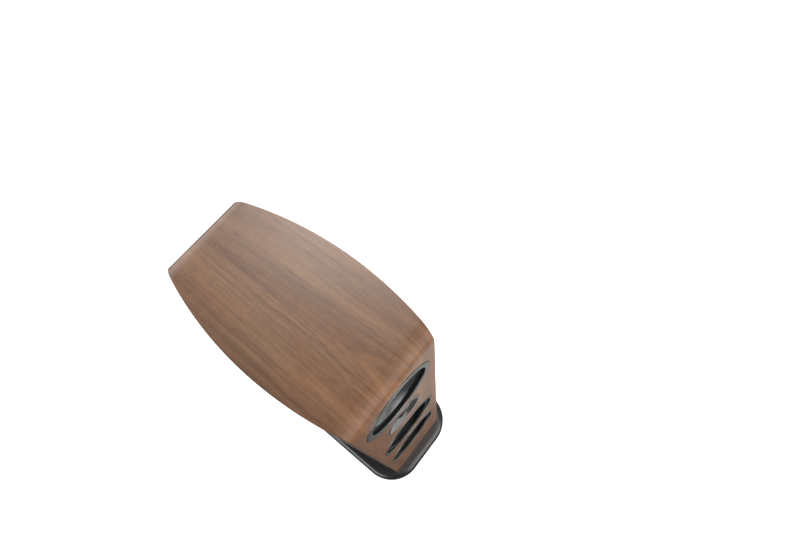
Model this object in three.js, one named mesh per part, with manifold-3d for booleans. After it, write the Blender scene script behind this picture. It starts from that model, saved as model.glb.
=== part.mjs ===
// A floorstanding loudspeaker. Millimetres, +Z up, the front faces -Y, and the origin is on the floor
// under the middle of the plinth. Each separate physical piece is one named mesh.
import * as THREE from "three";
import { mergeVertices } from "three/addons/utils/BufferGeometryUtils.js";
import Module from "manifold-3d";

// ---------------------------------------------------------------- driving dimensions

const GAP = 0.3; // clearance between neighbouring pieces

const foot = { padRadius: 17, clearHeight: 10, studRadius: 4, studTop: 34, inset: 48 };

const plinth = { width: 278, depth: 457, thickness: 30, cornerRadius: 87, edgeRadius: 16 };

const cabinet = {
  height: 902,
  depth: 406,
  frontStep: 31.25, // plinth showing in front of the cabinet
  maxHalfWidth: 115,
  sideRadius: 670, // each side is one arc in plan
  widestBehindFront: 170,
  topFrontRadius: 30,
  topRearRadius: 33,
};

const wall = { side: 18, front: 25, rear: 20, top: 22, bottom: 20, topSkirt: 34, brace: 15 };

// Distances are down from the cabinet top to each driver's centre.
const midrange = {
  name: "midrange", down: 115, ringOuter: 77.5, ringInner: 65.5, ringProud: 2.2,
  coneRadius: 54, dishDepth: 20, coilRadius: 14, bellDepth: 52, magnetRadius: 42, magnetDepth: 28,
};
const woofer = {
  ringOuter: 77, ringInner: 71, ringProud: 1.8,
  coneRadius: 57, dishDepth: 24, coilRadius: 16, bellDepth: 62, magnetRadius: 50, magnetDepth: 34,
};
const upperWoofer = { ...woofer, name: "upper_woofer", down: 425 };
const lowerWoofer = { ...woofer, name: "lower_woofer", down: 621 };
const tweeter = { down: 259, plateRadius: 45, domeRadius: 12.7, magnetRadius: 34, magnetDepth: 26 };

const rebateDepth = 5; // every driver is let into the baffle by this much
const bodyStep = 1.9; // a basket's body is this much wider than the opening of its trim ring
const terminals = {
  down: 825, spacing: 30, holeRadius: 5.5, postRadius: 3.1,
  postInside: 32, postOutside: 20, // the post's reach, in and out of the rear panel's face
};
const shelfDown = 335;
const braceDown = 523;
const trunk = { x: -72, y: -60, radius: 3 }; // the wiring's main run, up the left wall

const RIM = 32; // facets round a trim ring and its cut-out
const ROLL = 20; // facets round a cone and its surround
const INNER = 14; // facets round small and hidden round parts
const SIDE_STEPS = 12; // facets along a bowed side

// ---------------------------------------------------------------- levels that follow from them

const plinthBottom = foot.clearHeight;
const plinthTop = plinthBottom + plinth.thickness;
const cabinetBottom = plinthTop + GAP;
const cabinetTop = plinthTop + cabinet.height;
const frontY = -plinth.depth / 2 + cabinet.frontStep;
const rearY = frontY + cabinet.depth;
const widestY = frontY + cabinet.widestBehindFront;
const skirtZ = cabinetTop - wall.topSkirt; // joint under the top panel

// ---------------------------------------------------------------- materials

const paint = (color, roughness, metalness = 0) =>
  new THREE.MeshStandardMaterial({ color, roughness, metalness });
const walnut = () => paint(0x8a6246, 0.45);
const board = () => paint(0x9a7b58, 0.8);
const blackLacquer = () => paint(0x17181a, 0.35);
const silver = () => paint(0xb9bcbf, 0.3, 1);
const greyMetal = () => paint(0x777c80, 0.35, 1);
const blackCone = () => paint(0x0c0d0e, 0.4);
const rubber = () => paint(0x0a0a0a, 0.6);
const castMetal = () => paint(0x2a2b2d, 0.6, 1);
const ferrite = () => paint(0x303236, 0.7);
const cloth = () => paint(0xb08a4a, 0.9);
const copper = () => paint(0xb4653a, 0.35, 1);
const gold = () => paint(0xd9ab4f, 0.25, 1);
const blackPlastic = () => paint(0x111111, 0.5);
const redPlastic = () => paint(0xa8321e, 0.4);

// ---------------------------------------------------------------- solids

const wasm = await Module();
wasm.setup();

function toSolid(geometry) {
  const bare = geometry.index ? geometry.toNonIndexed() : geometry.clone();
  bare.deleteAttribute("normal");
  bare.deleteAttribute("uv");
  const merged = mergeVertices(bare, 1e-4);
  const vertProperties = merged.attributes.position.array;
  const triVerts = new Uint32Array(merged.index.array);
  return new wasm.Manifold(new wasm.Mesh({ numProp: 3, vertProperties, triVerts }));
}

function toGeometry(solid) {
  const { numProp, numVert, vertProperties, triVerts } = solid.getMesh();
  const position = new Float32Array(numVert * 3);
  for (let i = 0; i < numVert; i++) {
    position.set(vertProperties.subarray(i * numProp, i * numProp + 3), i * 3);
  }
  const geometry = new THREE.BufferGeometry();
  geometry.setAttribute("position", new THREE.BufferAttribute(position, 3));
  geometry.setIndex(new THREE.BufferAttribute(triVerts, 1));
  return geometry;
}

const cut = (base, ...tools) => toGeometry(tools.reduce((s, t) => s.subtract(toSolid(t)), toSolid(base)));
const join = (base, ...others) => toGeometry(others.reduce((s, o) => s.add(toSolid(o)), toSolid(base)));
const common = (a, b) => toGeometry(toSolid(a).intersect(toSolid(b)));

// Revolves a closed outline of [radius, height] points about the local Y axis.
function turned(outline, facets) {
  const points = outline.map(([r, h]) => new THREE.Vector2(r, h));
  if (THREE.ShapeUtils.area(points) < 0) points.reverse();
  return new THREE.LatheGeometry([...points, points[0]], facets);
}

const disc = (radius, low, high, facets) =>
  turned([[0, low], [radius, low], [radius, high], [0, high]], facets);

// Turns a piece made about the Y axis so that its +Y points out of the baffle.
const outOfFront = (geometry, z) => geometry.rotateZ(Math.PI).translate(0, frontY, z);

// Turns a piece made about the Y axis so that its +Y points up.
const standing = (geometry, x, y, z = 0) => geometry.rotateX(Math.PI / 2).translate(x, y, z);

function slab(shape, low, high, curveSegments = SIDE_STEPS) {
  const options = { depth: high - low, bevelEnabled: false, curveSegments };
  return new THREE.ExtrudeGeometry(shape, options).translate(0, 0, low);
}

function block(sizeX, sizeY, sizeZ, x, y, z) {
  return new THREE.BoxGeometry(sizeX, sizeY, sizeZ).translate(x, y, z);
}

function tube(points, radius, sides, steps) {
  const section = new THREE.Shape();
  section.absarc(0, 0, radius, 0, 2 * Math.PI);
  const path = new THREE.CatmullRomCurve3(points.map((p) => new THREE.Vector3(...p)));
  return new THREE.ExtrudeGeometry(section, { steps, curveSegments: sides / 2, extrudePath: path });
}

const speaker = new THREE.Group();

function add(name, geometry, material, parent = speaker) {
  const mesh = new THREE.Mesh(geometry, material);
  mesh.name = name;
  parent.add(mesh);
}

// ---------------------------------------------------------------- cabinet

// Half the cabinet's width at y, inset from the outer face.
function halfWidth(y, inset = 0) {
  const radius = cabinet.sideRadius - inset;
  const back = y - widestY;
  return cabinet.maxHalfWidth - cabinet.sideRadius + Math.sqrt(radius * radius - back * back);
}

// Points along one bowed face, from one depth to another.
function bowedFace(sign, inset, from, to) {
  return Array.from({ length: SIDE_STEPS + 1 }, (_, i) => {
    const y = from + ((to - from) * i) / SIDE_STEPS;
    return new THREE.Vector2(sign * halfWidth(y, inset), y);
  });
}

// Plan outline between two depths, both sides bowed.
function planBetween(yFront, yRear, inset = 0) {
  return new THREE.Shape([...bowedFace(1, inset, yFront, yRear), ...bowedFace(-1, inset, yRear, yFront)]);
}

// Plan outline of one bowed side panel, which stands between the baffle and the rear panel.
function sidePlan(sign) {
  const yFront = frontY + wall.front + GAP;
  const yRear = rearY - wall.rear - GAP;
  return new THREE.Shape([
    ...bowedFace(sign, 0, yFront, yRear),
    ...bowedFace(sign, wall.side, yRear, yFront),
  ]);
}

// The cabinet's outline seen from the side, with its two rounded upper edges.
function sideOutline() {
  const { topFrontRadius: f, topRearRadius: r } = cabinet;
  const outline = new THREE.Shape();
  outline.moveTo(frontY, cabinetBottom);
  outline.lineTo(rearY, cabinetBottom);
  outline.absarc(rearY - r, cabinetTop - r, r, 0, Math.PI / 2);
  outline.absarc(frontY + f, cabinetTop - f, f, Math.PI / 2, Math.PI);
  return outline;
}

function topPanel() {
  const profile = slab(sideOutline(), -cabinet.maxHalfWidth - 1, cabinet.maxHalfWidth + 1, 5);
  // The outline's first axis becomes Y and its second becomes Z.
  profile.applyMatrix4(new THREE.Matrix4().set(0, 0, 1, 0, 1, 0, 0, 0, 0, 1, 0, 0, 0, 0, 0, 1));
  const cap = common(slab(planBetween(frontY, rearY), skirtZ, cabinetTop + 1), profile);
  const hollow = planBetween(frontY + wall.front, rearY - wall.rear, wall.side);
  return cut(cap, slab(hollow, skirtZ - 1, cabinetTop - wall.top));
}

// A stepped hole: a rebate for the driver's flange, then an opening right through the baffle.
function driverCutOut(rimRadius, throughRadius, down) {
  const outline = [
    [0, 1], [rimRadius + GAP, 1], [rimRadius + GAP, -rebateDepth],
    [throughRadius, -rebateDepth], [throughRadius, -wall.front - 1], [0, -wall.front - 1],
  ];
  return outOfFront(turned(outline, RIM), cabinetTop - down);
}

function frontBaffle() {
  const panel = slab(planBetween(frontY, frontY + wall.front), cabinetBottom, skirtZ - GAP);
  const coneCutOut = (d) => driverCutOut(d.ringOuter, d.ringInner + bodyStep + 2 * GAP, d.down);
  const tweeterCutOut = driverCutOut(tweeter.plateRadius, tweeter.magnetRadius + 4, tweeter.down);
  return cut(panel, ...[midrange, upperWoofer, lowerWoofer].map(coneCutOut), tweeterCutOut);
}

function rearPanel() {
  const panel = slab(planBetween(rearY - wall.rear, rearY), cabinetBottom, skirtZ - GAP);
  const z = cabinetTop - terminals.down;
  const hole = (x) => disc(terminals.holeRadius, -wall.rear - 1, 1, INNER).translate(x, rearY, z);
  return cut(panel, hole(-terminals.spacing / 2), hole(terminals.spacing / 2));
}

// Plan outline of a panel between the cabinet's walls.
const insidePlan = (trim = GAP) =>
  planBetween(frontY + wall.front + trim, rearY - wall.rear - trim, wall.side + trim);

const insidePanel = (z) => slab(insidePlan(), z - wall.brace / 2, z + wall.brace / 2);

// The shelf closes off the midrange and tweeter's chamber, with one hole for the wiring.
function chamberShelf() {
  const z = cabinetTop - shelfDown;
  const cableHole = disc(trunk.radius + 1.5, -wall.brace, wall.brace, INNER);
  return cut(insidePanel(z), standing(cableHole, trunk.x, trunk.y, z));
}

// A frame round the inside of the walls, with one rib across it.
function windowBrace() {
  const z = cabinetTop - braceDown;
  const rib = 16;
  const ribY = 20;
  const window = slab(insidePlan(rib), z - wall.brace, z + wall.brace);
  const crossRib = block(2 * cabinet.maxHalfWidth, rib, wall.brace, 0, ribY, z);
  return join(cut(insidePanel(z), window), common(insidePanel(z), crossRib));
}

function addCabinet() {
  add("front_baffle", frontBaffle(), walnut());
  add("top_panel", topPanel(), walnut());
  add("rear_panel", rearPanel(), walnut());
  for (const [name, sign] of [["left_side_panel", -1], ["right_side_panel", 1]]) {
    add(name, slab(sidePlan(sign), cabinetBottom, skirtZ - GAP), walnut());
  }
  add("bottom_panel", slab(insidePlan(), cabinetBottom, cabinetBottom + wall.bottom), board());
  add("chamber_shelf", chamberShelf(), board());
  add("window_brace", windowBrace(), board());
}

// ---------------------------------------------------------------- plinth and levelling feet

const footPlaces = [
  ["front_left", -1, -1], ["front_right", 1, -1], ["rear_left", -1, 1], ["rear_right", 1, 1],
];
const footX = plinth.width / 2 - foot.inset;
const footY = plinth.depth / 2 - foot.inset;
const studHoleRadius = foot.studRadius + 2 * GAP;
const studCollar = { radius: foot.studRadius + 2, low: 3.8, high: 6.2 };

// Only the slab's upper edge is rounded, so the rounding under it is cut away.
function plinthSlab() {
  const { width, depth, thickness, cornerRadius, edgeRadius: edge } = plinth;
  const x = width / 2 - edge;
  const y = depth / 2 - edge;
  const r = cornerRadius - edge;
  const outline = new THREE.Shape();
  outline.absarc(x - r, y - r, r, 0, Math.PI / 2);
  outline.absarc(-x + r, y - r, r, Math.PI / 2, Math.PI);
  outline.absarc(-x + r, -y + r, r, Math.PI, 1.5 * Math.PI);
  outline.absarc(x - r, -y + r, r, 1.5 * Math.PI, 2 * Math.PI);
  const rounded = new THREE.ExtrudeGeometry(outline, {
    depth: thickness, bevelThickness: edge, bevelSize: edge, bevelSegments: 4, curveSegments: 5,
  }).translate(0, 0, plinthTop - edge - thickness);
  const spare = 10;
  const keptHeight = thickness + spare;
  const kept = block(width + spare, depth + spare, keptHeight, 0, 0, plinthBottom + keptHeight / 2);
  const studHole = ([, sx, sy]) =>
    standing(disc(studHoleRadius, plinthBottom - 1, foot.studTop + 1, INNER), sx * footX, sy * footY);
  return cut(common(rounded, kept), ...footPlaces.map(studHole));
}

// The pad holds the stud's collar in a pocket, so the stud can turn in it but not pull out.
function footPad() {
  const top = plinthBottom - GAP;
  const pocket = studCollar.radius + 1;
  const play = 0.4;
  const pocketLow = studCollar.low - play;
  const pocketHigh = studCollar.high + play;
  const { padRadius: r } = foot;
  return turned(
    [
      [0, 0], [r - 1, 0], [r, 1], [r, top - 1], [r - 1, top], [studHoleRadius, top],
      [studHoleRadius, pocketHigh], [pocket, pocketHigh], [pocket, pocketLow], [0, pocketLow],
    ],
    INNER,
  );
}

function footStud() {
  const { studRadius: r, studTop } = foot;
  const { radius, low, high } = studCollar;
  const outline = [
    [0, low], [radius, low], [radius, high], [r, high], [r, studTop - 1], [r - 1, studTop], [0, studTop],
  ];
  return turned(outline, INNER);
}

function addBase() {
  add("plinth", plinthSlab(), blackLacquer());
  for (const [place, sx, sy] of footPlaces) {
    add(`foot_${place}_pad`, standing(footPad(), sx * footX, sy * footY), rubber());
    add(`foot_${place}_stud`, standing(footStud(), sx * footX, sy * footY), greyMetal());
  }
}

// ---------------------------------------------------------------- cone drivers

const seat = -6.3; // where the surround's rim sits on the basket, from the baffle face
const coneThickness = 1.2;

// Height of the dished cone's front face at radius r.
const dish = (d, r) => seat - d.dishDepth * (1 - (r / d.coneRadius) ** 2);

const ringBack = -0.6; // the trim ring's hidden face, from the baffle face

function trimRing(d) {
  const { ringOuter: ro, ringInner: ri, ringProud: up } = d;
  return turned(
    [[ri, ringBack], [ro, ringBack], [ro, up * 0.4], [ro - 2, up], [ri + 1.5, up], [ri, up * 0.3]],
    RIM,
  );
}

function cone(d) {
  const radii = [0, 0.35, 0.65, 0.85, 1].map((share) => share * d.coneRadius);
  const front = radii.map((r) => [r, dish(d, r)]);
  const back = radii.map((r) => [r, dish(d, r) - coneThickness]).reverse();
  return turned([...front, ...back], ROLL);
}

// A half roll of rubber between the cone's edge and the basket, with a flat rim.
function surround(d) {
  const thickness = 1;
  const inner = d.coneRadius + GAP;
  const outer = d.ringInner - GAP;
  const rim = 3;
  const reach = (outer - rim - inner) / 2;
  const middle = inner + reach;
  const base = seat + GAP;
  const arch = (radius, halfTurns) =>
    halfTurns.map((t) => [middle - radius * Math.cos(t * Math.PI), base + radius * Math.sin(t * Math.PI)]);
  const over = arch(reach, [0, 0.25, 0.5, 0.75]);
  const under = arch(reach - thickness, [1, 0.75, 0.5, 0.25, 0]);
  const flat = [[middle + reach, base + thickness], [outer, base + thickness], [outer, base]];
  return turned([...over, ...flat, ...under], ROLL);
}

// The basket's flange lies in the rebate, its ledge carries the surround, and its bell narrows to
// the magnet.
function bellOutline(d) {
  const { ringInner, bellDepth: depth, magnetRadius } = d;
  const flange = { radius: d.ringOuter - 1, top: ringBack - GAP, bottom: -4.6 };
  const body = ringInner + bodyStep;
  const ledge = ringInner - 6;
  const plateHole = d.coilRadius + 8;
  return [
    [flange.radius, flange.top], [flange.radius, flange.bottom], [body, flange.bottom], [body, -8.5],
    [body - 6.4, -14], [magnetRadius + 2, -depth], [magnetRadius - 2, -depth - 3], [plateHole, -depth - 3],
    [plateHole, -depth], [magnetRadius - 2, -depth], [ledge - 2, -14], [ledge, seat], [ringInner, seat],
    [ringInner, flange.top],
  ];
}

// Five windows open the bell behind the cone.
function basket(d) {
  const windows = { count: 5, top: -16, height: d.bellDepth - 24, width: 0.62 * d.magnetRadius, reach: 60 };
  const openings = Array.from({ length: windows.count }, (_, i) => {
    const middle = d.magnetRadius - 8 + windows.reach / 2;
    const low = windows.top - windows.height / 2;
    const opening = block(windows.reach, windows.height, windows.width, middle, low, 0);
    return opening.rotateY((i * 2 * Math.PI) / windows.count);
  });
  return cut(turned(bellOutline(d), ROLL), ...openings);
}

function magnet(d) {
  const front = -d.bellDepth - 3 - GAP;
  const back = front - d.magnetDepth;
  const slotIn = d.coilRadius - 1.6;
  const slotOut = d.coilRadius + 1.8;
  const { magnetRadius: r } = d;
  return turned(
    [
      [0, back], [r - 4, back], [r, back + 4], [r, front], [slotOut, front], [slotOut, back + 9],
      [slotIn, back + 9], [slotIn, front], [0, front],
    ],
    INNER,
  );
}

function voiceCoil(d) {
  const top = dish(d, d.coilRadius) - coneThickness - 1;
  const { coilRadius: r } = d;
  return turned([[r - 0.8, top], [r, top], [r, -d.bellDepth - 14], [r - 0.8, -d.bellDepth - 14]], INNER);
}

// The spider centres the voice coil. It is a pleated disc.
function spider(d) {
  const inner = d.coilRadius + 0.8;
  const outer = d.magnetRadius - 3;
  const z = -d.bellDepth + 6;
  const radii = [0, 0.25, 0.5, 0.75, 1].map((share) => inner + share * (outer - inner));
  const pleat = (i) => (i % 2 ? 1.2 : -1.2);
  const front = radii.map((r, i) => [r, z + 0.5 + pleat(i)]);
  const back = radii.map((r, i) => [r, z - 0.5 + pleat(i)]).reverse();
  return turned([...front, ...back], INNER);
}

function addConeDriver(d, coneMaterial) {
  const place = (suffix, geometry, material) =>
    add(`${d.name}_${suffix}`, outOfFront(geometry, cabinetTop - d.down), material);
  place("trim_ring", trimRing(d), silver());
  place("basket", basket(d), castMetal());
  place("magnet", magnet(d), ferrite());
  place("surround", surround(d), rubber());
  place("cone", cone(d), coneMaterial);
  place("spider", spider(d), cloth());
  place("voice_coil", voiceCoil(d), copper());
}

// ---------------------------------------------------------------- tweeter

const plateBack = -9; // the faceplate's hidden face, from the baffle face

function tweeterFaceplate() {
  const { plateRadius: r, domeRadius } = tweeter;
  const throat = domeRadius + 3.6;
  const boss = r - 8;
  const rimBack = -4.7;
  return turned(
    [
      [throat, plateBack], [boss, plateBack], [boss, rimBack], [r, rimBack], [r, 0.6], [r - 1.5, 1.5],
      [r - 5, 1], [throat + 8, -3.6], [throat, -6.4],
    ],
    RIM,
  );
}

function tweeterDome() {
  const { domeRadius: r } = tweeter;
  const shares = [0, 0.5, 0.85, 1];
  const rise = (share) => -6 + 5.5 * Math.sqrt(1 - 0.9 * share * share);
  const front = shares.map((s) => [s * r, rise(s)]);
  const back = shares.map((s) => [s * (r - 0.3), rise(s) - 0.8]).reverse();
  return turned([...front, ...back], ROLL);
}

function tweeterSurround() {
  const inner = tweeter.domeRadius + GAP;
  const outer = tweeter.domeRadius + 3.3;
  const middle = (inner + outer) / 2;
  const outline = [[inner, -6.2], [middle, -5], [outer, -6.2], [outer, -7], [middle, -5.8], [inner, -7]];
  return turned(outline, ROLL);
}

function tweeterMagnet() {
  const { magnetRadius: r, magnetDepth, domeRadius } = tweeter;
  const front = plateBack - GAP;
  const back = front - magnetDepth;
  const slot = { inner: domeRadius - 2, outer: domeRadius + 1, bottom: back + 8 };
  return turned(
    [
      [0, back], [r - 3, back], [r, back + 3], [r, front], [slot.outer, front], [slot.outer, slot.bottom],
      [slot.inner, slot.bottom], [slot.inner, front], [0, front],
    ],
    INNER,
  );
}

function tweeterVoiceCoil() {
  const { domeRadius: r } = tweeter;
  return turned([[r - 1.2, -6.3], [r - 0.5, -6.3], [r - 0.5, -15], [r - 1.2, -15]], INNER);
}

function addTweeter() {
  const place = (suffix, geometry, material) =>
    add(`tweeter_${suffix}`, outOfFront(geometry, cabinetTop - tweeter.down), material);
  place("faceplate", tweeterFaceplate(), silver());
  place("surround", tweeterSurround(), rubber());
  place("dome", tweeterDome(), greyMetal());
  place("voice_coil", tweeterVoiceCoil(), copper());
  place("magnet", tweeterMagnet(), ferrite());
}

// ---------------------------------------------------------------- binding posts

// Heights are out from the rear panel's face.
const knob = { radius: 7.8, waist: 6.4, nose: 5.6, bore: 3.6, start: 6.6, end: 20.6, ringStart: 18 };

function collar() {
  const bore = terminals.postRadius + GAP;
  const sleeve = terminals.holeRadius - GAP;
  const flange = 11;
  return turned(
    [[bore, -14], [sleeve, -14], [sleeve, GAP], [flange, GAP], [flange, 3], [flange - 1, 4], [bore, 4]],
    INNER,
  );
}

// A threaded stud with its nut inside the cabinet.
function post() {
  const { postRadius: r, postInside, postOutside: tip } = terminals;
  const nut = { radius: 8, outer: -wall.rear - GAP, inner: -wall.rear - GAP - 6 };
  return turned(
    [
      [0, -postInside], [r, -postInside], [r, nut.inner], [nut.radius, nut.inner], [nut.radius, nut.outer],
      [r, nut.outer], [r, tip], [0, tip],
    ],
    INNER,
  );
}

function washer() {
  const { bore, start } = knob;
  const outside = 7.4;
  const low = 4 + GAP;
  const high = start - GAP;
  return turned([[bore, low], [outside, low], [outside, high], [bore, high]], INNER);
}

function knobBarrel() {
  const { radius: r, waist, nose, bore, start, end, ringStart } = knob;
  return turned(
    [
      [bore, start], [r, start], [r, start + 2.8], [waist, start + 3.6], [waist, start + 5.8],
      [r, start + 6.6], [r, ringStart - GAP], [nose, ringStart - GAP], [nose, end], [bore, end],
    ],
    INNER,
  );
}

function knobRing() {
  const { radius: r, nose, end, ringStart } = knob;
  const inner = nose + GAP;
  return turned([[inner, ringStart], [r, ringStart], [r, end - 0.6], [r - 0.6, end], [inner, end]], INNER);
}

function addTerminals() {
  const sides = [["positive", -1, copper, redPlastic], ["negative", 1, gold, blackPlastic]];
  for (const [name, sign, metal, plastic] of sides) {
    const terminal = new THREE.Group();
    terminal.position.set((sign * terminals.spacing) / 2, rearY, cabinetTop - terminals.down);
    add(`${name}_collar`, collar(), blackPlastic(), terminal);
    add(`${name}_post`, post(), gold(), terminal);
    add(`${name}_washer`, washer(), gold(), terminal);
    add(`${name}_knob`, knobBarrel(), metal(), terminal);
    add(`${name}_ring`, knobRing(), plastic(), terminal);
    speaker.add(terminal);
  }
}

// ---------------------------------------------------------------- crossover and wiring

const floorZ = cabinetBottom + wall.bottom + GAP; // upper face of the bottom panel
const crossover = { width: 120, depth: 150, thickness: 2, y: 75, legs: 6, legWidth: 8 };
const boardTop = floorZ + crossover.legs + crossover.thickness + GAP;

function crossoverBoard() {
  const { width, depth, thickness, y, legs, legWidth: w } = crossover;
  const panel = block(width, depth, thickness, 0, y, floorZ + legs + thickness / 2);
  const corners = [[-1, -1], [1, -1], [-1, 1], [1, 1]];
  const sunk = 1; // each leg runs this far into the board
  const leg = ([sx, sy]) =>
    block(w, w, legs + sunk, sx * (width / 2 - w), y + sy * (depth / 2 - w), floorZ + (legs + sunk) / 2);
  return join(panel, ...corners.map(leg));
}

// A ring of wound wire that lies on the board.
const inductor = ({ inner, outer, height, x, y }) =>
  standing(turned([[inner, 0], [outer, 0], [outer, height], [inner, height]], INNER), x, y, boardTop);

// A can that lies on the board along Y.
const capacitor = ({ radius, length, x, y }) =>
  disc(radius, -length / 2, length / 2, INNER).translate(x, y, boardTop + radius);

function addCrossover() {
  add("crossover_board", crossoverBoard(), paint(0x1d5a36, 0.6));
  add("woofer_inductor", inductor({ inner: 10, outer: 27, height: 24, x: -28, y: 42 }), copper());
  add("midrange_inductor", inductor({ inner: 8, outer: 20, height: 18, x: 33, y: 36 }), copper());
  add("woofer_capacitor", capacitor({ radius: 13, length: 44, x: -36, y: 112 }), blackPlastic());
  add("tweeter_capacitor", capacitor({ radius: 10, length: 36, x: 4, y: 112 }), redPlastic());
}

// One trunk up the left wall with a branch to the tags of each driver.
function wiringHarness() {
  const { x, y, radius } = trunk;
  const top = cabinetTop - midrange.down;
  const middle = (boardTop + top) / 2;
  const route = [
    [-52, 20, boardTop + 2], [x + 4, 0, boardTop + 30], [x, y + 4, boardTop + 90], [x, y, boardTop + 140],
    [x, y, middle], [x, y, (middle + top) / 2], [x, y, top],
  ];
  const main = tube(route, radius, 6, 24);
  const branch = (down, endX) => {
    const z = cabinetTop - down;
    return tube([[x, y, z - 12], [x + 2, y - 30, z - 4], [endX, frontY + 50, z]], 2, 6, 5);
  };
  return join(
    main,
    branch(midrange.down + 4, -midrange.magnetRadius - 8),
    branch(tweeter.down, -tweeter.magnetRadius - 8),
    branch(upperWoofer.down, -woofer.magnetRadius - 6),
    branch(lowerWoofer.down, -woofer.magnetRadius - 6),
  );
}

// A forked lead from both binding posts' inner ends to the board.
function inputLead() {
  const z = cabinetTop - terminals.down;
  const x = terminals.spacing / 2;
  const fork = (sign) => {
    const route = [[sign * x, rearY - 34, z], [sign * (x - 2), rearY - 44, z - 8], [0, rearY - 54, z - 26]];
    return tube(route, 2, 6, 6);
  };
  const tail = [[0, rearY - 52, z - 24], [0, rearY - 58, z - 34], [0, rearY - 66, boardTop + 2]];
  return join(tube(tail, 2.6, 6, 6), fork(-1), fork(1));
}

function addWiring() {
  add("wiring_harness", wiringHarness(), blackPlastic());
  add("input_lead", inputLead(), redPlastic());
}

// ---------------------------------------------------------------- assembly

addCabinet();
addBase();
addConeDriver(midrange, greyMetal());
addTweeter();
addConeDriver(upperWoofer, blackCone());
addConeDriver(lowerWoofer, blackCone());
addTerminals();
addCrossover();
addWiring();

export default speaker;
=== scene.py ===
import math

import bmesh
import bpy
from mathutils import Matrix, Vector
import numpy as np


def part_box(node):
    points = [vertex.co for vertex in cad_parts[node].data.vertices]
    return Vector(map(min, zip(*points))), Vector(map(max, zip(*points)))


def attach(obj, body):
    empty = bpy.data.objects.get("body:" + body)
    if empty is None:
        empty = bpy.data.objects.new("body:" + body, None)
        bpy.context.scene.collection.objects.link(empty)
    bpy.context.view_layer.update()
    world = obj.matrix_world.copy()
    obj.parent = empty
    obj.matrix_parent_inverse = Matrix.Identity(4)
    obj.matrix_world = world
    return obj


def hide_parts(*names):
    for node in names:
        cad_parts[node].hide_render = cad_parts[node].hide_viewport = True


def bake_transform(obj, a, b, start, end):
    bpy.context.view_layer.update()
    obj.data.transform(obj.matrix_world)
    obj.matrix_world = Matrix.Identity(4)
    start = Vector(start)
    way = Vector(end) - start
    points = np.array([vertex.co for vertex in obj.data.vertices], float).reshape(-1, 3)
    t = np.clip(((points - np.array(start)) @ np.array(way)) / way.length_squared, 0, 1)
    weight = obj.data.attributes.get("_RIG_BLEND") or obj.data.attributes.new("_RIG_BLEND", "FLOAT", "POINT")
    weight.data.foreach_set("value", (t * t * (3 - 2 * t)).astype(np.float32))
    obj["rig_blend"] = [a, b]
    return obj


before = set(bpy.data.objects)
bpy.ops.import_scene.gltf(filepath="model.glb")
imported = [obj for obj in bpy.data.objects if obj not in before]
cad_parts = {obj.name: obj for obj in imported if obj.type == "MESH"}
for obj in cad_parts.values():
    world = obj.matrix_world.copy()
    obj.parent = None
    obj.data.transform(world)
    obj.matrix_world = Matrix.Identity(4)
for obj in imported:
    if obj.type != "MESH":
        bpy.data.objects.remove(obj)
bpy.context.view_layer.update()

MM = 0.001

# ---------------------------------------------------------------- levels, from the frame


def low(node):
    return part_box(node)[0]


def high(node):
    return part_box(node)[1]


def centre(node):
    return (low(node) + high(node)) / 2


FRONT = low("front_baffle").y
REAR = high("rear_panel").y
TOP = high("top_panel").z
PLINTH_TOP = high("plinth").z
PLINTH_BOTTOM = low("plinth").z
TOP_JOINT = (low("top_panel").z + high("front_baffle").z) / 2
FRONT_JOINT = (high("front_baffle").y + low("left_side_panel").y) / 2
REAR_JOINT = (high("left_side_panel").y + low("rear_panel").y) / 2
MAX_HALF_WIDTH = high("top_panel").x

# ---------------------------------------------------------------- named sizes of the cabinet

SIDE_RADIUS = 670 * MM  # each side is one arc in plan
WIDEST = FRONT + 170 * MM
TOP_FRONT_RADIUS = 30 * MM
TOP_REAR_RADIUS = 33 * MM
SIDE_WALL = 18 * MM
TOP_WALL = 22 * MM
EDGE = 0.9 * MM  # the crisp edges are eased by this radius
EDGE_STEPS = 4
BOW_STEPS = 60
CORNER_STEPS = 16
FILLET_STEPS = 4

PLINTH_CORNER = 87 * MM
PLINTH_EDGE = 16 * MM
PLINTH_CHAMFER = 1 * MM

# These are in millimetres.
REBATE = 5  # how far the drivers are let into the baffle
CLEARANCE = 0.3
THROUGH_WALL = 30  # deep enough to cut through any wall
OVERREACH = 5  # how far a drill starts outside the face
HOLLOW_BELOW = 10  # how far the cutter for the hollow reaches below the top panel
POST_HOLE = 5.5  # radius
STUD_HOLE = 4.6  # radius
STUD_HOLE_DEPTH = 25

SMOOTH_ANGLE = math.radians(35)

# ---------------------------------------------------------------- node graphs


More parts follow.
